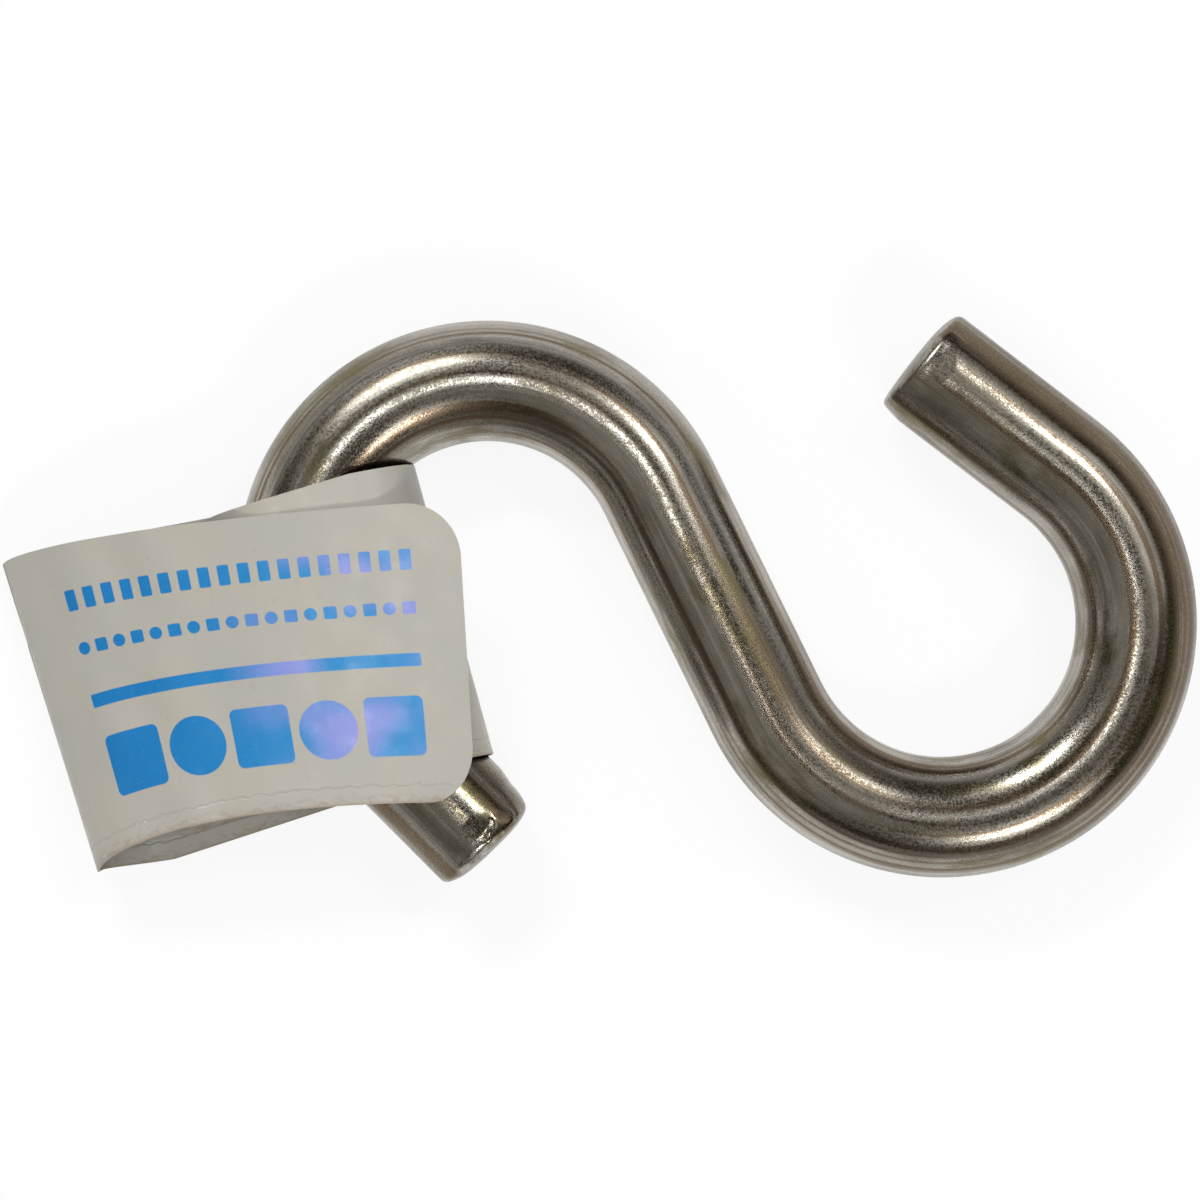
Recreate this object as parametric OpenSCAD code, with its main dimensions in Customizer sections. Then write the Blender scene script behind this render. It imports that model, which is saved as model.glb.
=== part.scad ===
// Open S hook bent from one length of round steel wire, with the paper
// label that is folded round its upper bend. The hook lies flat: its wire
// runs parallel to the XY plane and +Z points away from the surface below.

/* [Wire] */
// Diameter of the round wire
wire_d = 9.525; // [7:0.005:12]

/* [Labelled bend] */
// Radius of the bend on its inner side
bend_a_in = 10.3; // [9:0.1:14]
// Angle that the bend turns through
bend_a_sweep = 199; // [190:1:215]
// Straight length from the bend to the tip
end_a_len = 16.6; // [14:0.1:20]

/* [Plain bend] */
// Radius of the bend on its inner side
bend_b_in = 10.6; // [8:0.1:14]
// Angle that the bend turns through
bend_b_sweep = 206.4; // [190:0.1:215]
// Straight length from the bend to the tip
end_b_len = 15.3; // [12:0.1:20]

/* [Shank] */
// Straight length between the two bends
shank_len = 19.4; // [12:0.1:40]
// Slope of the shank below the X axis
shank_slope = 63.9; // [55:0.1:75]

/* [Sheared tips] */
// Radius of the domed end face
dome_r = 10; // [8:0.5:20]
// Shift of the dome towards the inner side of the hook
dome_shift = 0.75; // [0:0.05:1.5]
// Radius rolled over on the upper and lower side of a tip
roll_r = 2; // [0.5:0.1:3]
// Radius rolled over on the inner side of the labelled tip
roll_a_in = 3.4; // [0.5:0.1:4]
// Radius rolled over on the inner side of the plain tip
roll_b_in = 0.9; // [0.5:0.1:4]
// Swelling of a tip's radius where the shear gripped the wire
tip_swell = 0.01; // [0.005:0.005:0.05]

/* [Label strip] */
// Width of the paper strip
label_w = 23.6; // [18:0.1:25]
// Thickness of the paper
label_t = 0.2; // [0.15:0.01:0.4]
// Air left between the paper and what it lies on
paper_gap = 0.05; // [0.02:0.01:0.2]
// Angle between the strip and the X axis
label_lean = 15; // [10:1:20]
// Place of the strip's upper edge round the inner side of the bend
wrap_angle = 68.5; // [62:0.5:72]
// Distance that the strip climbs along the wire while it goes round
wrap_rise = 1; // [0:0.1:2]
// Length of the loop from the wire out to the fold
loop_len = 33.1; // [30:0.1:40]
// Length that lies on the strip's lower layer past the wire
tail_len = 5; // [3:0.5:7]
// Slope of the strip where it comes down beside the wire
tail_slope = 68; // [55:1:75]

/* [Label fold] */
// Curl radius at the upper edge
curl_top_r = 1.4; // [0.8:0.1:2.5]
// Curl radius at the lower edge
curl_low_r = 4; // [3:0.1:4.4]
// Angle that the fold leans away from square
fold_skew = 2.9; // [0:0.1:6]
// Extra width that each edge takes up in the curl
curl_flare = 1; // [0:0.05:1.5]

/* [Label flag] */
// Length of the printed flag from the fold to its free end
flag_len = 33.5; // [28:0.1:36]
// Angle between the flag and the layer below it
flag_skew = 11.5; // [6:0.5:14]
// Distance that the free end hangs below the middle of the strip
flag_drop = 3.4; // [1:0.1:5]
// Rounding of the two free corners
corner_r = 4.4; // [2:0.1:6]

/* [Hidden] */
round_fn = 96;

wire_r = wire_d / 2;
tip_r = wire_r + tip_swell;
wire_z = label_t + tip_r;
bend_a_r = bend_a_in + wire_r;
bend_b_r = bend_b_in + wire_r;

// The labelled bend is centred at [0, 0]. Angles are measured from +X.
shank_angle = 90 - shank_slope;
end_a_angle = shank_angle + bend_a_sweep;
end_b_angle = shank_angle + 180 + bend_b_sweep;

function dir(a) = [cos(a), sin(a)];

shank_start = bend_a_r * dir(shank_angle);
shank_end = shank_start + shank_len * dir(shank_angle - 90);
bend_b_mid = shank_end + bend_b_r * dir(shank_angle);

// Drop of a tip's dome from its peak to a line at height v
function dome_drop(v, shift) = dome_r - sqrt(pow(dome_r, 2) - pow(v - shift, 2));

// Outer corner of a tip, in plan
function tip_corner(mid, bend_r, angle, len) =
    mid + (bend_r + tip_r) * dir(angle) + (len - dome_drop(-tip_r, dome_shift)) * dir(angle + 90);

corner_a = tip_corner([0, 0], bend_a_r, end_a_angle, end_a_len);
corner_b = tip_corner(bend_b_mid, bend_b_r, end_b_angle, end_b_len);

// Heights of the strip's middle surface
low_z = label_t / 2;
over_z = wire_z + wire_r + paper_gap + label_t / 2;
flag_z = over_z + label_t + paper_gap;
turn_r = (over_z - low_z) / 2;

// The strip is drawn in its own plan axes: +X runs along it to the right
// and +Y to its upper edge. These are the ends of the turn round the wire.
wrap_top_y = bend_a_in * sin(wrap_angle);
wrap_low_y = wrap_top_y - label_w;
wrap_top_x = -bend_a_in * cos(wrap_angle) + label_t + paper_gap;
tip_dir = dir(end_a_angle + 90 - label_lean);
tip_root = bend_a_in * dir(end_a_angle - label_lean);
wrap_low_x = tip_root[0] + (wrap_low_y - tip_root[1]) * tip_dir[0] / tip_dir[1]
    + label_t + paper_gap * 4;
wrap_mid = ([wrap_top_x, wrap_top_y] + [wrap_low_x, wrap_low_y]) / 2;

fold_mid = wrap_mid - [loop_len, 0];
fold_half = label_w / 2 + curl_flare;
fold_top = fold_mid + fold_half * dir(90 + fold_skew);
fold_low = fold_mid - fold_half * dir(90 + fold_skew);
flag_mid = fold_mid + [flag_len, -flag_drop];
flag_top = flag_mid + label_w / 2 * dir(90 - flag_skew);
flag_low = flag_mid - label_w / 2 * dir(90 - flag_skew);

function bezier(p, u) = pow(1 - u, 3) * p[0] + 3 * pow(1 - u, 2) * u * p[1]
    + 3 * (1 - u) * pow(u, 2) * p[2] + pow(u, 3) * p[3];
function up(p, z) = [p[0], p[1], z];

// Edges of the flag, from the fold to the free end
flag_top_edge = [
    up(fold_top, curl_top_r + low_z),
    up(fold_top + [0.1, 0.5], curl_top_r * 2.6),
    up(fold_top + [8, 1], flag_z + 1.6),
    up(flag_top, flag_z)
];
flag_low_edge = [
    up(fold_low, curl_low_r + low_z),
    up(fold_low + [0.2, 0.7], curl_low_r * 2.2),
    up(fold_low + [6.3, 4.6], flag_z + 1.5),
    up(flag_low, flag_z)
];

// Edges of the curl's lower half, from the fold to where it lies flat
function curl_edge(at, r, lift) = [
    up(at, r + low_z),
    up(at - [0.05, lift / 3], r * 0.4),
    up(at + [r * 0.5, lift / 2], low_z),
    up(at + [r * 1.4, lift], low_z)
];
curl_top_edge = curl_edge(fold_top, curl_top_r * 1.3, 0.5);
curl_low_edge = curl_edge(fold_low, curl_low_r, -0.7);

flag_steps = 20;
corner_steps = 7;
curl_steps = 10;
turn_steps = 20;
over_steps = 12;
flag_reach = 3 * norm(flag_top_edge[3] - flag_top_edge[2]);
corner_u = 1 - corner_r / flag_reach;

// Each row of the strip is a straight line [upper point, lower point].
function flag_row(u) = [bezier(flag_top_edge, u), bezier(flag_low_edge, u)];
function inset(row, d) =
    let (along = (row[1] - row[0]) / norm(row[1] - row[0]))
    [row[0] + d * along, row[1] - d * along];
function corner_row(a) =
    inset(flag_row(1 - corner_r * (1 - cos(a)) / flag_reach), corner_r * (1 - sin(a)));
function turn_row(a) = [
    for (p = [[wrap_top_x, wrap_top_y], [wrap_low_x, wrap_low_y]])
        up(p + [turn_r * (sin(a) - 1), wrap_rise * (a / 180 - 0.5)], low_z + turn_r * (1 - cos(a)))
];

// Past the turn the strip lies over the wire, comes down on its outer side
// and bends back to lie on its own lower layer.
drop_arc_r = wire_r + paper_gap + label_t / 2;
ease_r = drop_arc_r * 0.6;
tail_z = low_z + label_t + paper_gap;
slope_len = (over_z - tail_z - (drop_arc_r + ease_r) * (1 - cos(tail_slope))) / sin(tail_slope);
ridge_x = -bend_a_r;
slope_x = ridge_x - drop_arc_r * sin(tail_slope);
ease_x = slope_x - slope_len * cos(tail_slope) - ease_r * sin(tail_slope);
tail_skew = wrap_rise / loop_len;

function tail_row(x, z) = [
    [x, wrap_top_y + wrap_rise / 2 - (wrap_top_x - turn_r - x) * tail_skew, z],
    [x, wrap_low_y + wrap_rise / 2 - (wrap_low_x - turn_r - x) * tail_skew, z]
];
function ridge_row(a) =
    tail_row(ridge_x - drop_arc_r * sin(a), over_z - drop_arc_r * (1 - cos(a)));
function ease_row(a) = tail_row(ease_x + ease_r * sin(a), tail_z + ease_r * (1 - cos(a)));

label_rows = concat(
    [for (i = [0 : corner_steps - 1]) corner_row(i * 90 / corner_steps)],
    [for (i = [0 : flag_steps - 1]) flag_row(corner_u * (1 - i / flag_steps))],
    [for (i = [0 : curl_steps])
        [bezier(curl_top_edge, i / curl_steps), bezier(curl_low_edge, i / curl_steps)]],
    [for (i = [0 : turn_steps]) turn_row(i * 180 / turn_steps)],
    [for (i = [0 : over_steps]) ridge_row(i * tail_slope / over_steps)],
    [for (i = [0 : over_steps]) ease_row(tail_slope * (1 - i / over_steps))],
    [tail_row(ease_x - tail_len, tail_z)]
);
row_last = len(label_rows) - 1;

// Unit normal of the strip at one edge of a row, on its printed side
function row_normal(i, edge) =
    let (
        before = label_rows[max(i - 1, 0)][edge],
        after = label_rows[min(i + 1, row_last)][edge],
        n = cross(after - before, label_rows[i][1] - label_rows[i][0])
    )
    n / norm(n);

label_points = [
    for (i = [0 : row_last])
        let (
            top = label_rows[i][0],
            low = label_rows[i][1],
            top_n = row_normal(i, 0) * label_t / 2,
            low_n = row_normal(i, 1) * label_t / 2
        )
        each [top + top_n, low + low_n, low - low_n, top - top_n]
];
label_sides = [
    for (i = [0 : row_last - 1], j = [0 : 3])
        let (
            a = 4 * i + j,
            b = 4 * i + (j + 1) % 4
        )
        each [[a, b, b + 4], [a, b + 4, a + 4]]
];
label_ends = [
    [3, 2, 1],
    [3, 1, 0],
    [4 * row_last, 4 * row_last + 1, 4 * row_last + 2],
    [4 * row_last, 4 * row_last + 2, 4 * row_last + 3]
];

// The finished part is centred in plan on its overall size.
label_plan = [
    for (p = label_points)
        [p[0] * cos(label_lean) - p[1] * sin(label_lean),
         p[0] * sin(label_lean) + p[1] * cos(label_lean)]
];
plan_left = min([for (p = label_plan) p[0]]);
plan_right = bend_b_mid[0] + bend_b_r + wire_r;
plan_low = min(corner_a[1], bend_b_mid[1] - bend_b_r - wire_r, min([for (p = label_plan) p[1]]));
plan_top = max(corner_b[1], bend_a_r + wire_r);
plan_mid = [(plan_left + plan_right) / 2, (plan_low + plan_top) / 2];

// Outline of a tip that points along +X, with its +Y corner rolled over
module tip_outline(len, roll, shift) {
    edge = len - dome_drop(tip_r - roll, shift) + 0.05;
    translate([-1, -2 * tip_r])
        square([edge + dome_r, 3 * tip_r - roll]);
    translate([-1, 0])
        square([edge - roll + 1, 2 * tip_r]);
    translate([edge - roll, tip_r - roll])
        circle(r = roll, $fn = round_fn);
}

// Straight wire along +X. The outline of its section starts at the given
// angle, so that the pieces of the bent wire meet point to point.
module rod(len, r, start) {
    rotate([0, 90, 0])
        rotate([0, 0, start])
            cylinder(h = len, r = r, $fn = round_fn);
}

// One sheared tip, pointing along +X, with the hook's inner side at +Y
module wire_tip(len, roll_in, start) {
    intersection() {
        rod(len, tip_r, start);
        translate([len - dome_r, dome_shift, 0])
            sphere(r = dome_r, $fn = round_fn);
        linear_extrude(height = 2 * wire_d, center = true)
            tip_outline(len, roll_in, dome_shift);
        rotate([90, 0, 0])
            linear_extrude(height = 2 * wire_d, center = true)
                intersection() {
                    tip_outline(len, roll_r, 0);
                    mirror([0, 1])
                        tip_outline(len, roll_r, 0);
                }
    }
}

// A bend round the origin that starts on the +X axis, and the tip after it.
// The bend is drawn a little too long and cut off square at the tip's root.
module hook_end(r, sweep, len, roll_in, start) {
    difference() {
        rotate_extrude(angle = sweep + 5, $fn = round_fn)
            translate([r, 0])
                rotate([0, 0, start + 90])
                    circle(r = wire_r, $fn = round_fn);
        rotate([0, 0, sweep])
            translate([0, 0, -wire_d])
                cube([2 * r, 2 * r, 2 * wire_d]);
    }
    rotate([0, 0, sweep])
        translate([r, 0, 0])
            rotate([0, 0, 90])
                wire_tip(len, roll_in, start);
}

module hook_wire() {
    color([0.60, 0.58, 0.54])
        translate([-plan_mid[0], -plan_mid[1], wire_z])
            rotate([0, 0, shank_angle]) {
                hook_end(bend_a_r, bend_a_sweep, end_a_len, roll_a_in, -90);
                translate([bend_a_r, 0, 0])
                    rotate([0, 0, -90])
                        rod(shank_len, wire_r, 90);
                translate([bend_a_r + bend_b_r, -shank_len, 0])
                    rotate([0, 0, 180])
                        hook_end(bend_b_r, bend_b_sweep, end_b_len, roll_b_in, 90);
            }
}

module paper_label() {
    color([0.84, 0.82, 0.77])
        translate([-plan_mid[0], -plan_mid[1], 0])
            rotate([0, 0, label_lean])
                polyhedron(points = label_points, faces = concat(label_sides, label_ends));
}

hook_wire();
paper_label();
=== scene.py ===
# Open S hook with a folded paper label: surfaces, materials, light and camera
import math

import bmesh
import bpy
import numpy as np
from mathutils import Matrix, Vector


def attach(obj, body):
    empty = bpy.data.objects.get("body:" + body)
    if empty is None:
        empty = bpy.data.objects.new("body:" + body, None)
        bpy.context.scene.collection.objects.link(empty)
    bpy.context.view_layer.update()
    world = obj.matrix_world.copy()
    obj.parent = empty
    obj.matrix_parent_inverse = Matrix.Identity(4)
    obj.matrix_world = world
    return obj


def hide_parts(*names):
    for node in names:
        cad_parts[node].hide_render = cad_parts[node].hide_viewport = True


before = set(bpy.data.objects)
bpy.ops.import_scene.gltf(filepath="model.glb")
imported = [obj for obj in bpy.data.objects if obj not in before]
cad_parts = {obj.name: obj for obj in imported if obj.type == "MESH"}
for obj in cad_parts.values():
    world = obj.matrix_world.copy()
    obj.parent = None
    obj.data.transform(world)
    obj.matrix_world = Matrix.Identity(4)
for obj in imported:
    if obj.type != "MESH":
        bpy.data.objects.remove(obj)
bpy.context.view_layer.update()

mm = 0.001


def sinOf(angle):
    return math.sin(math.radians(angle))


def cosOf(angle):
    return math.cos(math.radians(angle))


def aim(angle):
    return np.array([cosOf(angle), sinOf(angle)])


def newTree(name, kind):
    tree = bpy.data.node_groups.new(name, kind)
    return tree, tree.nodes, tree.links


def socketIn(tree, name, kind):
    tree.interface.new_socket(name, in_out="INPUT", socket_type=kind)


def socketOut(tree, name, kind):
    tree.interface.new_socket(name, in_out="OUTPUT", socket_type=kind)


class Board:
    # Short way to place shader nodes: a value is set, a socket is linked
    def __init__(self, tree):
        self.tree = tree

    def plug(self, socket, value):
        if isinstance(value, bpy.types.NodeSocket):
            self.tree.links.new(value, socket)
        else:
            socket.default_value = value

    def add(self, kind, inputs=None, **settings):
        node = self.tree.nodes.new(kind)
        for key, value in settings.items():
            setattr(node, key, value)
        for key, value in (inputs or {}).items():
            self.plug(node.inputs[key], value)
        return node

    def group(self, tree, inputs):
        return self.add("ShaderNodeGroup", inputs, node_tree=tree).outputs["Mask"]

    def math(self, operation, a, b=0.0, c=0.0, clamp=False):
        values = {0: a, 1: b, 2: c}
        return self.add("ShaderNodeMath", values, operation=operation, use_clamp=clamp).outputs[0]

    def times(self, a, b):
        return self.math("MULTIPLY", a, b)

    def minus(self, a, b):
        return self.math("SUBTRACT", a, b)

    def plus(self, a, b):
        return self.math("ADD", a, b)

    def length(self, a):
        return self.add("ShaderNodeVectorMath", {0: a}, operation="LENGTH").outputs["Value"]

    def scaled(self, a, by):
        return self.add("ShaderNodeVectorMath", {0: a, 1: by}, operation="MULTIPLY").outputs[0]

    def noise(self, vector, scale, detail, rough, distortion=0.0):
        values = {"Vector": vector, "Scale": scale, "Detail": detail, "Roughness": rough,
                  "Distortion": distortion}
        return self.add("ShaderNodeTexNoise", values).outputs["Fac"]

    def noises(self, vector, settings):
        return {name: self.noise(self.scaled(vector, stretch), *rest)
                for name, (stretch, *rest) in settings.items()}

    def span(self, value, low, high, atLow=0.0, atHigh=1.0):
        values = {"Value": value, "From Min": low, "From Max": high, "To Min": atLow, "To Max": atHigh}
        return self.add("ShaderNodeMapRange", values, interpolation_type="SMOOTHSTEP").outputs["Result"]

    def mix(self, factor, a, b):
        node = self.add("ShaderNodeMix", data_type="RGBA", blend_type="MIX", clamp_factor=True)
        for place, value in ((0, factor), (6, a), (7, b)):
            self.plug(node.inputs[place], value)
        return node.outputs[2]

    def bump(self, shader, height, finish):
        values = {"Height": height, "Strength": finish["bumpStrength"], "Distance": finish["bumpDepth"]}
        self.plug(shader.inputs["Normal"], self.add("ShaderNodeBump", values).outputs[0])


# The wire in mm and degrees: its route and tips are the CAD's, and the low burr is drawn only here
wire = {
    "radius": 4.7625,
    "tipRadius": 4.7725,
    "height": 4.9725,
    "bendRadiusA": 15.0625,
    "bendRadiusB": 15.3625,
    "midA": (-8.610, 2.178),
    "midB": (27.247, -1.859),
    "shankAngle": 26.1,
    "sweepA": 199.0,
    "sweepB": 206.4,
    "lengthA": 16.6,
    "lengthB": 15.3,
    "shankLength": 19.4,
    "domeRadius": 10.0,
    "domeShift": 0.75,
    "rollFlat": 2.0,
    "rollInA": 3.4,
    "rollInB": 0.9,
    "rollPast": 0.05,
    "softRim": 0.35,
    "softRoll": 1.1,
    "softLeast": 0.05,
    "softReach": 1.5,
    "burrHeight": 0.16,
    "burrPlace": 14.6,
    "burrWidth": 0.40,
    "burrRagged": ((0.35, 1.7, 1.0), (0.12, 6.1, 0.0)),  # height, pace and phase of each wave
    "burrMean": 0.55,
    "burrSwell": ((0.45, 1.3, 0.6), (0.2, 4.3, 0.0)),
    "burrSpan": 3.0,
    "burrFrom": 0.4,
    "capDepth": 5.2,
    "capRings": 44,
    "capStep": 0.01,
    "rayReach": 12.0,
    "halvings": 36,
    "weld": 0.00002,
    "sides": 112,
    "step": 0.55,
    "tipSteps": 20,
}


def arcPoints(middle, radius, start, turn, sweep):
    count = int(math.radians(sweep) * radius / wire["step"])
    return [middle + radius * aim(start + turn * sweep * i / count) for i in range(count)]


def wireRoute():
    # Points along the wire's middle from the labelled tip to the plain one, without the two caps
    w = wire
    angleA = w["shankAngle"] + w["sweepA"]
    angleB = w["shankAngle"] + 180 + w["sweepB"]
    midA, midB = np.array(w["midA"]), np.array(w["midB"])
    rootA = midA + w["bendRadiusA"] * aim(angleA)
    rootB = midB + w["bendRadiusB"] * aim(angleB)
    outA, outB = aim(angleA + 90), aim(angleB + 90)
    reachA = w["lengthA"] - w["capDepth"]
    reachB = w["lengthB"] - w["capDepth"]
    steps = w["tipSteps"]
    route = [rootA + outA * reachA * (1 - i / steps) for i in range(steps)]
    route += arcPoints(midA, w["bendRadiusA"], angleA, -1, w["sweepA"])
    start = midA + w["bendRadiusA"] * aim(w["shankAngle"])
    count = int(w["shankLength"] / w["step"])
    route += [start + aim(w["shankAngle"] - 90) * w["shankLength"] * i / count for i in range(count)]
    route += arcPoints(midB, w["bendRadiusB"], w["shankAngle"] + 180, 1, w["sweepB"])
    route += [rootB + outB * reachB * i / steps for i in range(steps + 1)]
    return np.array(route), outA, outB


def softMax(a, b, k):
    h = np.maximum(k - np.abs(a - b), 0)
    return np.maximum(a, b) + h * h / (4 * k)


def tipField(x, y, z, length, rollIn):
    # Below zero inside a sheared tip that points along +x, with the hook's inner side at +y
    w = wire
    r, domeR, shift = w["tipRadius"], w["domeRadius"], w["domeShift"]
    dome = np.sqrt((x - length + domeR) ** 2 + (y - shift) ** 2 + z ** 2) - domeR
    field = softMax(np.hypot(y, z) - r, dome, w["softRim"])
    for across, roll, aside in ((y, rollIn, shift), (z, w["rollFlat"], 0), (-z, w["rollFlat"], 0)):
        fall = domeR - math.sqrt(domeR ** 2 - (r - roll - aside) ** 2)
        edge = length - fall + w["rollPast"]
        qx, qy = x - (edge - roll), across - (r - roll)
        outside = np.hypot(np.maximum(qx, 0), np.maximum(qy, 0))
        corner = outside + np.minimum(np.maximum(qx, qy), 0) - roll
        # The rolled edge is softened only where it rolls, so that the shank side keeps its radius
        softness = w["softLeast"] + w["softRoll"] * np.clip(qx / w["softReach"] + 1, 0, 1)
        field = softMax(field, corner, softness)
    return field


def capPoints(rays, length, rollIn):
    # Where rays from the cap's middle leave the tip, found by halving
    near, far = np.zeros(len(rays)), np.full(len(rays), wire["rayReach"])
    base = length - wire["capDepth"]
    for _ in range(wire["halvings"]):
        t = (near + far) / 2
        p = rays * t[:, None]
        inside = tipField(p[:, 0] + base, p[:, 1], p[:, 2], length, rollIn) < 0
        near, far = np.where(inside, t, near), np.where(inside, far, t)
    return rays * near[:, None]


def waves(x, mean, terms):
    for height, pace, phase in terms:
        mean = mean + height * np.sin(x * pace + phase)
    return mean


def raiseBurr(hit):
    # Torn metal on the upper side of the labelled tip: x along it, y inwards, z up
    w = wire
    along, inwards, up = hit.T
    past = along + w["lengthA"] - w["capDepth"] - w["burrPlace"] - waves(inwards, 0.0, w["burrRagged"])
    ridge = np.exp(-(past / w["burrWidth"]) ** 2)
    swell = waves(inwards, w["burrMean"], w["burrSwell"])
    hit[:, 2] += w["burrHeight"] * ridge * swell * np.clip(up / w["burrSpan"] - w["burrFrom"], 0, 1)


def buildWireTree():
    tree, nodes, links = newTree("wireSweep", "GeometryNodeTree")
    socketIn(tree, "Geometry", "NodeSocketGeometry")
    socketIn(tree, "Wire radius", "NodeSocketFloat")
    socketIn(tree, "Sides", "NodeSocketInt")
    socketIn(tree, "Material", "NodeSocketMaterial")
    socketOut(tree, "Geometry", "NodeSocketGeometry")
    given, result = nodes.new("NodeGroupInput"), nodes.new("NodeGroupOutput")
    toCurve = nodes.new("GeometryNodeMeshToCurve")
    upright = nodes.new("GeometryNodeSetCurveNormal")
    upright.mode = "Z_UP"
    section = nodes.new("GeometryNodeCurvePrimitiveCircle")
    place = nodes.new("GeometryNodeInputPosition")
    keep = nodes.new("GeometryNodeStoreNamedAttribute")
    keep.data_type = "FLOAT_VECTOR"
    keep.inputs["Name"].default_value = "section"
    sweep = nodes.new("GeometryNodeCurveToMesh")
    smooth = nodes.new("GeometryNodeSetShadeSmooth")
    realize = nodes.new("GeometryNodeRealizeInstances")
    paint = nodes.new("GeometryNodeSetMaterial")
    for source, target in (
            (given.outputs["Geometry"], toCurve.inputs[0]),
            (toCurve.outputs[0], upright.inputs[0]),
            (upright.outputs[0], sweep.inputs["Curve"]),
            (given.outputs["Sides"], section.inputs["Resolution"]),
            (given.outputs["Wire radius"], section.inputs["Radius"]),
            (section.outputs["Curve"], keep.inputs["Geometry"]),
            (place.outputs[0], keep.inputs["Value"]),
            (keep.outputs[0], sweep.inputs["Profile Curve"]),
            (sweep.outputs[0], smooth.inputs[0]),
            (smooth.outputs[0], realize.inputs[0]),
            (realize.outputs[0], paint.inputs[0]),
            (given.outputs["Material"], paint.inputs["Material"]),
            (paint.outputs[0], result.inputs[0])):
        links.new(source, target)
    return tree


def setInput(modifier, tree, name, value):
    for item in tree.interface.items_tree:
        if item.item_type == "SOCKET" and item.in_out == "INPUT" and item.name == name:
            modifier[item.identifier] = value


def sweepRoute(path, material):
    # The wire as a plain mesh whose points keep their ring, their way along and their place in the section
    mesh = bpy.data.meshes.new("route")
    mesh.from_pydata([(p[0] * mm, p[1] * mm, wire["height"] * mm) for p in path],
                     [(i, i + 1) for i in range(len(path) - 1)], [])
    steps = np.linalg.norm(np.diff(path, axis=0), axis=1)
    along = np.concatenate([[0], np.cumsum(steps)])
    for name, values in (("ring", np.arange(len(path), dtype=float)), ("along", along * mm)):
        mesh.attributes.new(name, "FLOAT", "POINT").data.foreach_set("value", values)
    carrier = bpy.data.objects.new("route", mesh)
    bpy.context.collection.objects.link(carrier)
    tree = buildWireTree()
    modifier = carrier.modifiers.new("sweep", "NODES")
    modifier.node_group = tree
    setInput(modifier, tree, "Wire radius", wire["radius"] * mm)
    setInput(modifier, tree, "Sides", wire["sides"])
    setInput(modifier, tree, "Material", material)
    graph = bpy.context.evaluated_depsgraph_get()
    swept = bpy.data.meshes.new_from_object(carrier.evaluated_get(graph), depsgraph=graph)
    bpy.data.objects.remove(carrier)
    swept.name = "steelWire"
    return swept


def readPoints(data, key, width):
    values = np.empty(len(data) * width)
    data.foreach_get(key, values)
    return values.reshape(-1, width) if width > 1 else values


def pullTips(swept, path, route, outA, outB):
    # Turns the extra rings at both ends into the tips' caps, and keeps the lay for the material
    rings, last = wire["capRings"], len(path) - 1
    co = readPoints(swept.vertices, "co", 3)
    ring = np.round(readPoints(swept.attributes["ring"].data, "value", 1)).astype(int)
    far = readPoints(swept.attributes["along"].data, "value", 1)
    section = readPoints(swept.attributes["section"].data, "vector", 3)
    centre = np.column_stack([path[ring] * mm, np.full(len(co), wire["height"] * mm)])
    radial = (co - centre) / mm
    radial /= np.linalg.norm(radial, axis=1)[:, None]
    for out, length, rollIn, root, order, turn in (
            (outA, wire["lengthA"], wire["rollInA"], route[0], rings - ring, -1),
            (outB, wire["lengthB"], wire["rollInB"], route[-1], ring - (last - rings), 1)):
        mine = order > 0
        axis = np.array([out[0], out[1], 0])
        inner = np.array([-out[1], out[0], 0])
        polar = math.pi / 2 * (1 - order[mine] / rings)
        rays = np.cos(polar)[:, None] * axis + np.sin(polar)[:, None] * radial[mine]
        hit = capPoints(np.column_stack([rays @ axis, rays @ inner, rays[:, 2]]), length, rollIn)
        if turn < 0:
            raiseBurr(hit)
        moved = hit[:, :1] * axis + hit[:, 1:2] * inner + hit[:, 2:] * np.array([0, 0, 1])
        co[mine] = (np.array([root[0], root[1], wire["height"]]) + moved) * mm
        far[mine] += turn * (hit[:, 0] - order[mine] * wire["capStep"]) * mm
        section[mine] *= (np.hypot(hit[:, 1], hit[:, 2]) / wire["radius"])[:, None]
    swept.vertices.foreach_set("co", co.ravel())
    for name in ("ring", "along", "section"):
        swept.attributes.remove(swept.attributes[name])
    lay = np.column_stack([far, section[:, 0], section[:, 1]])
    swept.attributes.new("lay", "FLOAT_VECTOR", "POINT").data.foreach_set("vector", lay.ravel())


def finishPiece(mesh, name, material, merge=0.0):
    # Welds, turns the faces outwards and shades smooth
    bm = bmesh.new()
    bm.from_mesh(mesh)
    if merge:
        bmesh.ops.remove_doubles(bm, verts=bm.verts, dist=merge)
    bmesh.ops.recalc_face_normals(bm, faces=bm.faces)
    bm.to_mesh(mesh)
    bm.free()
    mesh.materials.clear()
    mesh.materials.append(material)
    mesh.polygons.foreach_set("use_smooth", [True] * len(mesh.polygons))
    mesh.update()
    piece = bpy.data.objects.new(name, mesh)
    bpy.context.collection.objects.link(piece)
    return piece


def buildWire(material):
    route, outA, outB = wireRoute()
    rings, step = wire["capRings"], wire["capStep"]
    lead = [route[0] + outA * step * (rings - i) for i in range(rings)]
    tail = [route[-1] + outB * step * (i + 1) for i in range(rings)]
    path = np.array(lead + list(route) + tail)
    swept = sweepRoute(path, material)
    pullTips(swept, path, route, outA, outB)
    return finishPiece(swept, "steelWire", material, merge=wire["weld"] * mm)


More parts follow.
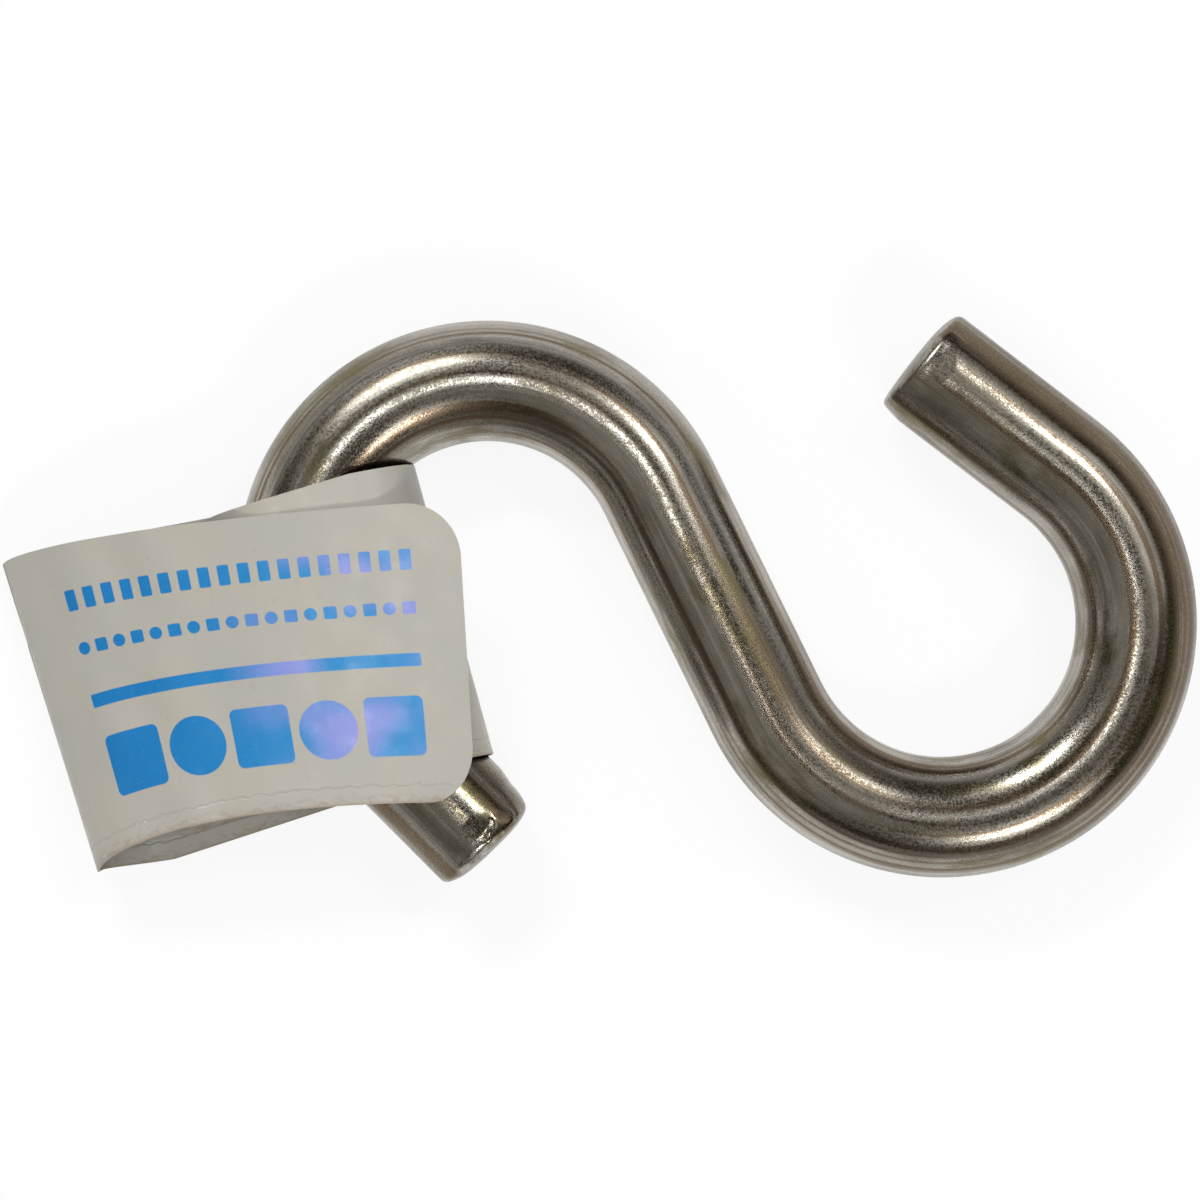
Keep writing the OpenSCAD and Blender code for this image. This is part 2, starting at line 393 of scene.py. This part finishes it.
# The label's strip, ruled between the same two edges as in the CAD, in mm and degrees
label = {
    "width": 23.6,
    "thickness": 0.2,
    "gap": 0.05,
    "lowGap": 0.2,
    "lean": 15.0,
    "wrapAngle": 68.5,
    "wrapRise": 1.0,
    "loopLength": 33.1,
    "tailLength": 5.0,
    "tailSlope": 68.0,
    "tailEase": 0.6,
    "curlTop": 1.4,
    "curlLow": 4.0,
    "curlTopShare": 1.3,
    "curlTopDrift": 0.5,
    "curlLowDrift": -0.7,
    "curlFlare": 1.0,
    "curlBack": 0.05,
    "curlDip": 0.4,
    "curlReach": (0.5, 1.4),
    "foldSkew": 2.9,
    "foldTopPull": (0.1, 0.5, 2.6),  # sideways, up and share of the curl's radius
    "foldLowPull": (0.2, 0.7, 2.2),
    "flagTopPull": (8.0, 1.0, 1.6),  # sideways, up and height over the flag
    "flagLowPull": (6.3, 4.6, 1.5),
    "flagLength": 33.5,
    "flagSkew": 11.5,
    "flagDrop": 3.4,
    "cornerRadius": 4.4,
    "cornerRows": 20,
    "flagRows": 60,
    "bendRows": 24,
    "wrapRows": 40,
    "columns": 26,
    "waveHeight": 0.22,
    "wavePlace": 25.0,
    "waveReach": 9.0,
    "wavePace": 0.9,
    "waveSkew": 0.23,
    "waveAcross": 0.31,
    "wavePhase": 0.6,
    "waveSink": 0.4,
    "sharpAngle": 50.0,
}


def bezier(p, u):
    v = 1 - u
    return v ** 3 * p[0] + 3 * v ** 2 * u * p[1] + 3 * v * u ** 2 * p[2] + u ** 3 * p[3]


def at(p, z):
    return np.array([p[0], p[1], z])


def labelPlan():
    # Heights of the strip's layers and the plan of its wrap, before the label is turned by its lean
    w, d = wire, label
    t, gap = d["thickness"], d["gap"]
    innerA = w["bendRadiusA"] - w["radius"]
    lowZ = t / 2
    overZ = w["height"] + w["radius"] + gap + t / 2
    topY = innerA * sinOf(d["wrapAngle"])
    lowY = topY - d["width"]
    topX = -innerA * cosOf(d["wrapAngle"]) + t + gap
    endA = w["shankAngle"] + w["sweepA"]
    tipDir = aim(endA + 90 - d["lean"])
    tipRoot = innerA * aim(endA - d["lean"])
    lowX = tipRoot[0] + (lowY - tipRoot[1]) * tipDir[0] / tipDir[1] + t + d["lowGap"]
    return {"lowZ": lowZ, "overZ": overZ, "flagZ": overZ + t + gap, "tailZ": lowZ + t + gap,
            "turnR": (overZ - lowZ) / 2, "top": np.array([topX, topY]), "low": np.array([lowX, lowY])}


def flagEdges(plan):
    # Upper and lower edge of the flag, from the fold to its free end, then of the curl under the fold
    d, lowZ, flagZ = label, plan["lowZ"], plan["flagZ"]
    foldMid = (plan["top"] + plan["low"]) / 2 - [d["loopLength"], 0]
    foldHalf = d["width"] / 2 + d["curlFlare"]
    foldTop = foldMid + foldHalf * aim(90 + d["foldSkew"])
    foldLow = foldMid - foldHalf * aim(90 + d["foldSkew"])
    flagMid = foldMid + [d["flagLength"], -d["flagDrop"]]
    flagTop = flagMid + d["width"] / 2 * aim(90 - d["flagSkew"])
    flagLow = flagMid - d["width"] / 2 * aim(90 - d["flagSkew"])

    def flagEdge(fold, end, r, near, over):
        return [at(fold, r + lowZ), at(fold + near[:2], r * near[2]),
                at(fold + over[:2], flagZ + over[2]), at(end, flagZ)]

    def curlEdge(fold, r, drift):
        near, far = d["curlReach"]
        return [at(fold, r + lowZ), at(fold - [d["curlBack"], drift / 3], r * d["curlDip"]),
                at(fold + [r * near, drift / 2], lowZ), at(fold + [r * far, drift], lowZ)]

    return (flagEdge(foldTop, flagTop, d["curlTop"], d["foldTopPull"], d["flagTopPull"]),
            flagEdge(foldLow, flagLow, d["curlLow"], d["foldLowPull"], d["flagLowPull"]),
            curlEdge(foldTop, d["curlTop"] * d["curlTopShare"], d["curlTopDrift"]),
            curlEdge(foldLow, d["curlLow"], d["curlLowDrift"]))


def flagRows(plan):
    # From the flag's free end with its rounded corners to the fold, and on into the curl
    d = label
    top, low, curlTop, curlLow = flagEdges(plan)
    reach = 3 * np.linalg.norm(top[3] - top[2])
    corner = d["cornerRadius"]
    rows = []
    for i in range(d["cornerRows"]):
        a = i * 90 / d["cornerRows"]
        u = 1 - corner * (1 - cosOf(a)) / reach
        rows.append((bezier(top, u), bezier(low, u), corner * (1 - sinOf(a))))
    for i in range(d["flagRows"]):
        u = (1 - corner / reach) * (1 - i / d["flagRows"])
        rows.append((bezier(top, u), bezier(low, u), 0.0))
    for i in range(d["bendRows"] + 1):
        u = i / d["bendRows"]
        rows.append((bezier(curlTop, u), bezier(curlLow, u), 0.0))
    return rows


def wrapRows(plan):
    # Up round the wire on the bend's inner side
    d, turnR = label, plan["turnR"]
    rows = []
    for i in range(d["wrapRows"] + 1):
        a = i * 180 / d["wrapRows"]
        shift = np.array([turnR * (sinOf(a) - 1), d["wrapRise"] * (a / 180 - 0.5)])
        z = plan["lowZ"] + turnR * (1 - cosOf(a))
        rows.append((at(plan["top"] + shift, z), at(plan["low"] + shift, z), 0.0))
    return rows


def tailRows(plan):
    # Over the wire, down its outer side and out onto the strip's own lower layer
    w, d, turnR = wire, label, plan["turnR"]
    dropR = w["radius"] + d["gap"] + d["thickness"] / 2
    easeR = dropR * d["tailEase"]
    slope = d["tailSlope"]
    slopeLen = (plan["overZ"] - plan["tailZ"] - (dropR + easeR) * (1 - cosOf(slope))) / sinOf(slope)
    ridgeX = -w["bendRadiusA"]
    slopeX = ridgeX - dropR * sinOf(slope)
    easeX = slopeX - slopeLen * cosOf(slope) - easeR * sinOf(slope)
    skew = d["wrapRise"] / d["loopLength"]

    def row(x, z):
        ends = [np.array([x, p[1] + d["wrapRise"] / 2 - (p[0] - turnR - x) * skew, z])
                for p in (plan["top"], plan["low"])]
        return ends[0], ends[1], 0.0

    rows = []
    for i in range(d["bendRows"] + 1):
        a = i * slope / d["bendRows"]
        rows.append(row(ridgeX - dropR * sinOf(a), plan["overZ"] - dropR * (1 - cosOf(a))))
    for i in range(d["bendRows"] + 1):
        a = slope * (1 - i / d["bendRows"])
        rows.append(row(easeX + easeR * sinOf(a), plan["tailZ"] + easeR * (1 - cosOf(a))))
    rows.append(row(easeX - d["tailLength"], plan["tailZ"]))
    return rows


def stripGrid():
    # The strip's middle surface, with the way along and the way across at each of its points
    d, plan = label, labelPlan()
    rows = flagRows(plan) + wrapRows(plan) + tailRows(plan)
    cols = d["columns"]
    grid = np.zeros((len(rows), cols + 1, 3))
    across = np.zeros((len(rows), cols + 1))
    for i, (top, low, cut) in enumerate(rows):
        full = np.linalg.norm(low - top)
        for j in range(cols + 1):
            v = cut + (full - 2 * cut) * j / cols
            grid[i, j] = top + (low - top) * v / full
            across[i, j] = v * d["width"] / full
    middle = grid[:, cols // 2]
    far = np.concatenate([[0], np.cumsum(np.linalg.norm(middle[1:] - middle[:-1], axis=1))])
    # Soft waves in the free stretch of the flag, between the wire and the fold
    for i, reached in enumerate(far):
        ease = max(0.0, 1 - abs(reached - d["wavePlace"]) / d["waveReach"]) * d["waveHeight"]
        for j, v in enumerate(across[i]):
            ripple = math.sin(reached * d["wavePace"] + v * d["waveSkew"])
            swell = math.sin(v * d["waveAcross"] + d["wavePhase"])
            grid[i, j, 2] += ease * (ripple * swell - d["waveSink"])
    return grid, far, across


def stripFaces(rowCount, cols):
    # Front, back and the four thin sides of the strip
    count = rowCount * (cols + 1)
    faces = []

    def index(i, j, side=0):
        return side * count + i * (cols + 1) + j

    for i in range(rowCount - 1):
        for j in range(cols):
            faces.append((index(i, j), index(i + 1, j), index(i + 1, j + 1), index(i, j + 1)))
            faces.append((index(i, j, 1), index(i, j + 1, 1),
                          index(i + 1, j + 1, 1), index(i + 1, j, 1)))
        faces.append((index(i, 0), index(i, 0, 1), index(i + 1, 0, 1), index(i + 1, 0)))
        faces.append((index(i, cols), index(i + 1, cols), index(i + 1, cols, 1), index(i, cols, 1)))
    for i, flip in ((0, False), (rowCount - 1, True)):
        for j in range(cols):
            quad = (index(i, j), index(i, j + 1), index(i, j + 1, 1), index(i, j, 1))
            faces.append(quad[::-1] if flip else quad)
    return faces


def buildLabel(material):
    grid, far, across = stripGrid()
    normal = np.cross(np.gradient(grid, axis=0), np.gradient(grid, axis=1))
    normal *= label["thickness"] / 2 / np.linalg.norm(normal, axis=2)[:, :, None]
    lean = label["lean"]
    turn = np.array([[cosOf(lean), -sinOf(lean), 0], [sinOf(lean), cosOf(lean), 0], [0, 0, 1]])
    points = np.vstack([(grid + normal).reshape(-1, 3), (grid - normal).reshape(-1, 3)])
    points = (points @ turn.T + at(wire["midA"], 0)) * mm
    mesh = bpy.data.meshes.new("paperLabel")
    mesh.from_pydata(points.tolist(), [], stripFaces(len(far), label["columns"]))
    # The map holds mm along the strip from its free end and mm down from its upper edge, over mapScale.
    # The back is moved on by backShift, so that it stays clear of the print.
    where = np.column_stack([np.repeat(far, across.shape[1]), across.ravel()])
    where = np.vstack([where, where + [paper["backShift"], 0]]) / paper["mapScale"]
    index = np.empty(len(mesh.loops), dtype=int)
    mesh.loops.foreach_get("vertex_index", index)
    mesh.uv_layers.new(name="strip").data.foreach_set("uv", where[index].ravel())
    piece = finishPiece(mesh, "paperLabel", material)
    mesh.set_sharp_from_angle(angle=math.radians(label["sharpAngle"]))
    print("label strip", round(float(far[-1]), 2), "mm long")
    return piece


# The wire's finish. A noise has its stretch along and across the wire, then scale, detail, roughness
# and distortion. A range starts and ends at its first two numbers, and goes from 0 to 1 or between the
# two numbers after them. A layer has its mask, that mask's range and its colour.
steel = {
    "light": (0.40, 0.372, 0.32, 1),
    "dark": (0.20, 0.178, 0.137, 1),
    "olive": (0.16, 0.14, 0.068, 1),
    "brown": (0.130, 0.085, 0.046, 1),
    "bright": (0.80, 0.78, 0.74, 1),
    "soot": (0.10, 0.09, 0.07, 1),
    "pit": (0.08, 0.072, 0.055, 1),
    "endLight": (0.34, 0.325, 0.295, 1),
    "endDark": (0.22, 0.205, 0.18, 1),
    "noises": {
        "streak": ((900.0, 16000.0, 16000.0), 0.35, 5.0, 0.6, 0.0),
        "ridges": ((60.0, 2600.0, 2600.0), 0.5, 3.0, 0.55, 0.0),
        "cloud": ((90.0, 220.0, 220.0), 1.0, 4.0, 0.6, 0.0),
        "stain": ((110.0, 300.0, 300.0), 1.1, 4.0, 0.6, 0.0),
        "bands": ((22.0, 1500.0, 1500.0), 0.42, 4.0, 0.62, 0.25),
        "blade": ((0.0, 900.0, 7000.0), 0.5, 3.0, 0.6, 0.0),
    },
    "layers": [
        ("bands", 0.49, 0.58, 0.0, 0.85, "brown"),
        ("bands", 0.46, 0.36, 0.0, 0.30, "bright"),
        ("stain", 0.53, 0.68, 0.0, 0.85, "olive"),
        ("streak", 0.36, 0.62, 0.22, 0.0, "soot"),
        ("grain", 0.55, 0.90, 0.0, 0.30, "pit"),
        ("grain", 0.10, 0.42, 0.12, 0.0, "bright"),
    ],
    "grainScale": 6000.0,
    "grainContrast": 1.9,
    "toneRange": (0.32, 0.68),
    "endRim": (0.90, 0.68),  # shares of the radius between which the end face's finish sets in
    "endRange": (0.35, 0.65),
    "endPits": (0.55, 0.90, 0.0, 0.30),
    "endShare": 0.92,
    "roughRange": (0.3, 0.7, 0.31, 0.17),
    "roughGrain": (0.2, 0.8, -0.06, 0.12),
    "roughEnd": 0.12,
    "ridgeHeight": 0.6,
    "grainHeight": 0.40,
    "bladeHeight": 1.2,
    "bumpStrength": 0.16,
    "bumpDepth": 0.00003,
}

# The label's finish, in mm on the strip, with noises and ranges given as the wire's are. A printed row
# has its line, start, pitch, count, half width, half height, corner and every other mark's corner.
paper = {
    "mapScale": 100.0,
    "backShift": 200.0,
    "white": (0.475, 0.450, 0.385, 1),
    "cool": (0.450, 0.435, 0.395, 1),
    "fibre": (0.36, 0.33, 0.27, 1),
    # fold: the colour of the painted shade along the pressed crease
    "fold": (0.34, 0.30, 0.25, 1),
    "scuff": (0.30, 0.22, 0.14, 1),
    "ink": (0.015, 0.26, 0.60, 1),
    "inkDeep": (0.004, 0.19, 0.50, 1),
    # The lavender is a painted sheen: a reflection painted into the ink's colour
    "paintedSheen": (0.30, 0.31, 0.74, 1),
    "rows": [
        (4.4, 3.4, 1.5, 18, 0.42, 0.80, 0.12, 0.12),
        (8.2, 3.4, 1.5, 18, 0.48, 0.48, 0.12, 0.48),
        (12.3, 3.4, 27.0, 1, 13.3, 0.50, 0.12, 0.12),
        (17.5, 3.4, 5.4, 5, 2.35, 2.35, 0.50, 2.35),
    ],
    "markEdge": (0.06, -0.02),
    "noises": {
        "tint": ((1.0, 1.0, 1.0), 0.12, 2.0, 0.5, 0.0),
        "wear": ((1.0, 1.0, 1.0), 3.5, 6.0, 0.7, 0.0),
        "paintedSheenPatch": ((1.0, 1.0, 1.0), 0.13, 1.0, 0.4, 0.0),
        "dirt": ((1.0, 2.2, 1.0), 1.1, 5.0, 0.7, 0.0),
        "specks": ((1.0, 1.0, 1.0), 4.5, 4.0, 0.6, 0.0),
        "wander": ((1.0, 1.0, 1.0), 1.2, 2.0, 0.5, 0.0),
        "gloss": ((1.0, 1.0, 1.0), 0.5, 4.0, 0.5, 0.0),
        "broad": ((0.7, 0.4, 1.0), 0.5, 2.0, 0.45, 0.0),
    },
    "ranges": {
        "tint": (0.35, 0.65),
        "fibre": (0.25, 0.75, 0.10, 0.0),
        "wear": (0.28, 0.42, 0.7, 1.0),
        "inkDeep": (6.0, 30.0),
        "paintedSheenPatch": (0.38, 0.62),
        "paintedSheenAlong": (20.0, 13.0),
        "scuff": (0.42, 0.66),
        "scuffUp": (1.1, 0.05),
        "rimUp": (0.35, 0.0),
        "specks": (0.72, 0.78, 0.0, 0.55),
        "specksAlong": (18.0, 26.0),
        "specksUp": (8.0, 4.0),
        "crease": (0.16, 0.0),
        "gloss": (0.3, 0.7, 0.27, 0.42),
    },
    "grainScale": 3.2,
    "grainContrast": 1.2,
    "paintedSheenShare": 0.85,
    "scuffShare": 0.75,
    "rimShare": 0.6,
    "creaseShadeShare": 0.22,
    "creaseLine": 1.75,
    "creaseWander": 0.7,
    "inkRough": -0.06,
    "specular": 0.45,
    "broadHeight": 1.2,
    "creaseHeight": -0.5,
    "grainHeight": 0.07,
    "bumpStrength": 0.4,
    "bumpDepth": 0.00022,
}


# Fine mottle that both finishes share
mottle = {"detail": 4.0, "rough": 0.65}


def buildGrainGroup():
    tree, nodes, links = newTree("fineGrain", "ShaderNodeTree")
    socketIn(tree, "Vector", "NodeSocketVector")
    socketIn(tree, "Scale", "NodeSocketFloat")
    socketIn(tree, "Contrast", "NodeSocketFloat")
    socketOut(tree, "Mask", "NodeSocketFloat")
    given, result = nodes.new("NodeGroupInput"), nodes.new("NodeGroupOutput")
    b = Board(tree)
    fine = b.noise(given.outputs["Vector"], given.outputs["Scale"], mottle["detail"], mottle["rough"])
    spread = b.math("MULTIPLY_ADD", b.minus(fine, 0.5), given.outputs["Contrast"], 0.5, clamp=True)
    links.new(spread, result.inputs["Mask"])
    return tree


rowInputs = ("Line", "Start", "Pitch", "Count", "Half width", "Half height", "Corner", "Other corner")


def buildRowGroup():
    # A row of equal printed marks, with a second corner for every other one
    tree, nodes, links = newTree("inkRow", "ShaderNodeTree")
    socketIn(tree, "Vector", "NodeSocketVector")
    for name in rowInputs:
        socketIn(tree, name, "NodeSocketFloat")
    socketOut(tree, "Mask", "NodeSocketFloat")
    given, result = nodes.new("NodeGroupInput"), nodes.new("NodeGroupOutput")
    b = Board(tree)
    parts = b.add("ShaderNodeSeparateXYZ", {0: given.outputs["Vector"]}).outputs
    values = [given.outputs[name] for name in rowInputs]
    line, start, pitch, count, halfWidth, halfHeight, first, second = values
    cell = b.math("DIVIDE", b.minus(parts[0], start), pitch)
    everyOther = b.times(b.math("FRACT", b.times(b.math("FLOOR", cell), 0.5)), 2.0)
    corner = b.math("MULTIPLY_ADD", b.minus(second, first), everyOther, first)
    awayU = b.times(b.math("ABSOLUTE", b.minus(b.math("FRACT", cell), 0.5)), pitch)
    awayV = b.math("ABSOLUTE", b.minus(parts[1], line))
    pastU = b.math("MAXIMUM", b.plus(b.minus(awayU, halfWidth), corner), 0.0)
    pastV = b.math("MAXIMUM", b.plus(b.minus(awayV, halfHeight), corner), 0.0)
    past = b.add("ShaderNodeCombineXYZ", {0: pastU, 1: pastV}).outputs[0]
    mark = b.span(b.minus(b.length(past), corner), *paper["markEdge"])
    inRun = b.times(b.math("GREATER_THAN", cell, 0.0), b.math("LESS_THAN", cell, count))
    links.new(b.times(mark, inRun), result.inputs["Mask"])
    return tree


grainGroup = buildGrainGroup()
rowGroup = buildRowGroup()


def startMaterial(name):
    made = bpy.data.materials.new(name)
    made.use_nodes = True
    return made, Board(made.node_tree), made.node_tree.nodes["Principled BSDF"]


def buildSteel():
    s = steel
    made, b, shader = startMaterial("drawnSteel")
    lay = b.add("ShaderNodeAttribute", attribute_name="lay").outputs["Vector"]
    masks = b.noises(lay, s["noises"])
    grain = {"Vector": lay, "Scale": s["grainScale"], "Contrast": s["grainContrast"]}
    masks["grain"] = b.group(grainGroup, grain)
    tone = b.mix(b.span(masks["cloud"], *s["toneRange"]), s["dark"], s["light"])
    for name, low, high, atLow, atHigh, colour in s["layers"]:
        tone = b.mix(b.span(masks[name], low, high, atLow, atHigh), tone, s[colour])

    # The sheared end faces have no drawn streaks, only fine lines from the blade
    perRadius = 1 / (wire["radius"] * mm)
    endFace = b.span(b.length(b.scaled(lay, (0.0, perRadius, perRadius))), *s["endRim"])
    endTone = b.mix(b.span(masks["blade"], *s["endRange"]), s["endDark"], s["endLight"])
    endTone = b.mix(b.span(masks["grain"], *s["endPits"]), endTone, s["pit"])
    b.plug(shader.inputs["Base Color"], b.mix(b.times(endFace, s["endShare"]), tone, endTone))

    rough = b.plus(b.span(masks["cloud"], *s["roughRange"]), b.span(masks["grain"], *s["roughGrain"]))
    b.plug(shader.inputs["Roughness"], b.math("MULTIPLY_ADD", endFace, s["roughEnd"], rough))
    shader.inputs["Metallic"].default_value = 1.0
    ridges, fine = b.times(masks["ridges"], s["ridgeHeight"]), b.times(masks["grain"], s["grainHeight"])
    blade = b.times(endFace, masks["blade"])
    height = b.math("MULTIPLY_ADD", blade, s["bladeHeight"], b.plus(ridges, fine))
    b.bump(shader, height, s)
    return made


def buildPaper():
    p = paper
    made, b, shader = startMaterial("printedPaper")
    raw = b.add("ShaderNodeUVMap", uv_map="strip").outputs["UV"]
    strip = b.scaled(raw, (p["mapScale"],) * 3)
    u, v, _ = b.add("ShaderNodeSeparateXYZ", {0: strip}).outputs
    low = b.minus(label["width"], v)  # mm up from the lower edge
    masks = b.noises(strip, p["noises"])
    values = {"Vector": strip, "Scale": p["grainScale"], "Contrast": p["grainContrast"]}
    grain = b.group(grainGroup, values)

    def ranged(value, name):
        return b.span(value, *p["ranges"][name])

    tint = b.mix(ranged(masks["tint"], "tint"), p["white"], p["cool"])
    tint = b.mix(ranged(grain, "fibre"), tint, p["fibre"])

    ink = 0.0
    for row in p["rows"]:
        mark = b.group(rowGroup, {"Vector": strip, **dict(zip(rowInputs, row))})
        ink = b.math("MAXIMUM", mark, ink)
    ink = b.times(ink, ranged(masks["wear"], "wear"))
    inkTone = b.mix(ranged(u, "inkDeep"), p["ink"], p["inkDeep"])
    # Painted sheen: a lavender reflection painted into the ink in broad patches towards the strip's free
    # end
    paintedSheenPatch = b.times(ranged(masks["paintedSheenPatch"], "paintedSheenPatch"), ranged(u, "paintedSheenAlong"))
    inkTone = b.mix(b.times(paintedSheenPatch, p["paintedSheenShare"]), inkTone, p["paintedSheen"])
    tone = b.mix(ink, tint, inkTone)

    # Scuffs along the lower edge, specks by the fold and a pressed line over the edge, darkened along its
    # length as painted shade
    scuff = b.times(ranged(low, "scuffUp"), ranged(masks["dirt"], "scuff"))
    rim = b.times(ranged(low, "rimUp"), p["rimShare"])
    tone = b.mix(b.math("MAXIMUM", b.times(scuff, p["scuffShare"]), rim), tone, p["scuff"])
    byFold = b.times(ranged(u, "specksAlong"), ranged(low, "specksUp"))
    tone = b.mix(b.times(ranged(masks["specks"], "specks"), byFold), tone, p["scuff"])
    wander = b.plus(low, b.times(masks["wander"], p["creaseWander"]))
    crease = ranged(b.math("ABSOLUTE", b.minus(wander, p["creaseLine"])), "crease")
    # Painted shade: the crease line is darkened towards the fold colour
    tone = b.mix(b.times(crease, p["creaseShadeShare"]), tone, p["fold"])
    b.plug(shader.inputs["Base Color"], tone)

    rough = b.plus(ranged(masks["gloss"], "gloss"), b.times(ink, p["inkRough"]))
    b.plug(shader.inputs["Roughness"], rough)
    shader.inputs["Specular IOR Level"].default_value = p["specular"]
    height = b.plus(b.times(masks["broad"], p["broadHeight"]), b.times(crease, p["creaseHeight"]))
    b.bump(shader, b.plus(height, b.times(grain, p["grainHeight"])), p)
    return made


steelFinish = buildSteel()
paperFinish = buildPaper()
print("materials ready")

steelWire = buildWire(steelFinish)
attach(steelWire, "root")
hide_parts("hook_wire")
print("wire ready", len(steelWire.data.polygons), "faces")

paperLabel = buildLabel(paperFinish)
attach(paperLabel, "root")
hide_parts("paper_label")
print("label ready", len(paperLabel.data.polygons), "faces")

# Floor, world, lamps and camera, in metres and watts. A lamp has its name, place, size, power and colour.
studio = {
    "floorSize": 6.0,
    "floorLevel": -0.00002,
    "floorColour": (0.93, 0.93, 0.93, 1),
    "floorRough": 0.9,
    "floorGlow": 0.88,
    "white": (1, 1, 1, 1),
    "skyFill": (0.25, 0.25, 0.25, 1),
    "skyHigh": (0.062, 0.055, 0.041, 1),
    "skyLow": (1.0, 1.0, 1.0, 1),
    "skyTurn": 0.40,
    "lamps": [
        ("upperLeftLamp", (-0.28, 0.60, 0.70), (0.26, 0.08), 3.4, (1, 1, 1)),
        ("upperRightLamp", (0.38, 0.38, 0.81), (0.15, 0.12), 1.4, (1, 1, 1)),
        ("lowerRightLamp", (0.30, -0.52, 0.62), (0.24, 0.055), 2.1, (1, 1, 1)),
        ("topLamp", (-0.03, 0.03, 0.97), (0.12, 0.08), 0.55, (1, 1, 1)),
        ("rightPanel", (0.54, 0.27, 0.73), (0.56, 0.56), 0.9, (1, 1, 1)),
        ("greyPanel", (-0.515, -0.25, 0.82), (1.0, 1.0), 1.0, (1.0, 0.98, 0.93)),
    ],
    "frameWidth": 0.0948,
    "cameraReach": 0.330,
    "cameraX": 0.00026,
    "cameraY": -0.00007,
    "sensorWidth": 36.0,
    "clipStart": 0.01,
}


def buildFloor():
    made, b, shader = startMaterial("paleFloor")
    shader.inputs["Base Color"].default_value = studio["floorColour"]
    shader.inputs["Roughness"].default_value = studio["floorRough"]
    shader.inputs["Specular IOR Level"].default_value = 0.0
    glow = b.add("ShaderNodeEmission", {"Color": studio["white"], "Strength": 1.0})
    path = b.add("ShaderNodeLightPath").outputs
    seen = b.math("MAXIMUM", path["Is Camera Ray"], path["Is Transmission Ray"])
    seen = b.math("MAXIMUM", seen, path["Is Glossy Ray"])
    share = b.times(seen, studio["floorGlow"])
    blend = b.add("ShaderNodeMixShader", {0: share, 1: shader.outputs[0], 2: glow.outputs[0]})
    # Seen from below the floor is clear, so that the underside can be looked at
    clear = b.add("ShaderNodeBsdfTransparent")
    fromBelow = b.add("ShaderNodeNewGeometry").outputs["Backfacing"]
    surface = b.add("ShaderNodeMixShader", {0: fromBelow, 1: blend.outputs[0], 2: clear.outputs[0]})
    b.plug(made.node_tree.nodes["Material Output"].inputs["Surface"], surface.outputs[0])
    half, level = studio["floorSize"] / 2, studio["floorLevel"]
    corners = [(x * half, y * half, level) for x, y in ((-1, -1), (1, -1), (1, 1), (-1, 1))]
    mesh = bpy.data.meshes.new("floor")
    mesh.from_pydata(corners, [], [(0, 1, 2, 3)])
    mesh.materials.append(made)
    floor = bpy.data.objects.new("floor", mesh)
    bpy.context.collection.objects.link(floor)


def buildWorld():
    # White to the camera and at the horizon, and dark overhead in what the metal reflects
    world = bpy.data.worlds.new("studioWorld")
    world.use_nodes = True
    b = Board(world.node_tree)
    path = b.add("ShaderNodeLightPath").outputs
    direction = b.add("ShaderNodeTexCoord").outputs["Generated"]
    height = b.add("ShaderNodeSeparateXYZ", {0: direction}).outputs[2]
    sky = b.mix(b.span(height, 0.0, studio["skyTurn"]), studio["skyLow"], studio["skyHigh"])
    tone = b.mix(path["Is Glossy Ray"], studio["skyFill"], sky)
    tone = b.mix(path["Is Camera Ray"], tone, studio["white"])
    tone = b.mix(path["Is Transmission Ray"], tone, studio["white"])
    b.plug(world.node_tree.nodes["Background"].inputs["Color"], tone)
    bpy.context.scene.world = world


def addLamp(name, place, size, power, colour):
    light = bpy.data.lights.new(name, "AREA")
    light.shape = "RECTANGLE"
    light.size, light.size_y = size
    light.energy = power
    light.color = colour
    lamp = bpy.data.objects.new(name, light)
    bpy.context.collection.objects.link(lamp)
    lamp.location = place
    lamp.rotation_euler = (-Vector(place)).to_track_quat("-Z", "Y").to_euler()


def addCamera():
    lens = bpy.data.cameras.new("mainCamera")
    lens.sensor_width = studio["sensorWidth"]
    lens.lens = studio["sensorWidth"] * studio["cameraReach"] / studio["frameWidth"]
    lens.clip_start = studio["clipStart"]
    camera = bpy.data.objects.new("mainCamera", lens)
    bpy.context.collection.objects.link(camera)
    level = wire["height"] * mm + studio["cameraReach"]
    camera.location = (studio["cameraX"], studio["cameraY"], level)
    bpy.context.scene.camera = camera


buildFloor()
buildWorld()
for settings in studio["lamps"]:
    addLamp(*settings)
addCamera()
bpy.context.scene.view_settings.view_transform = "Standard"
print("studio ready")

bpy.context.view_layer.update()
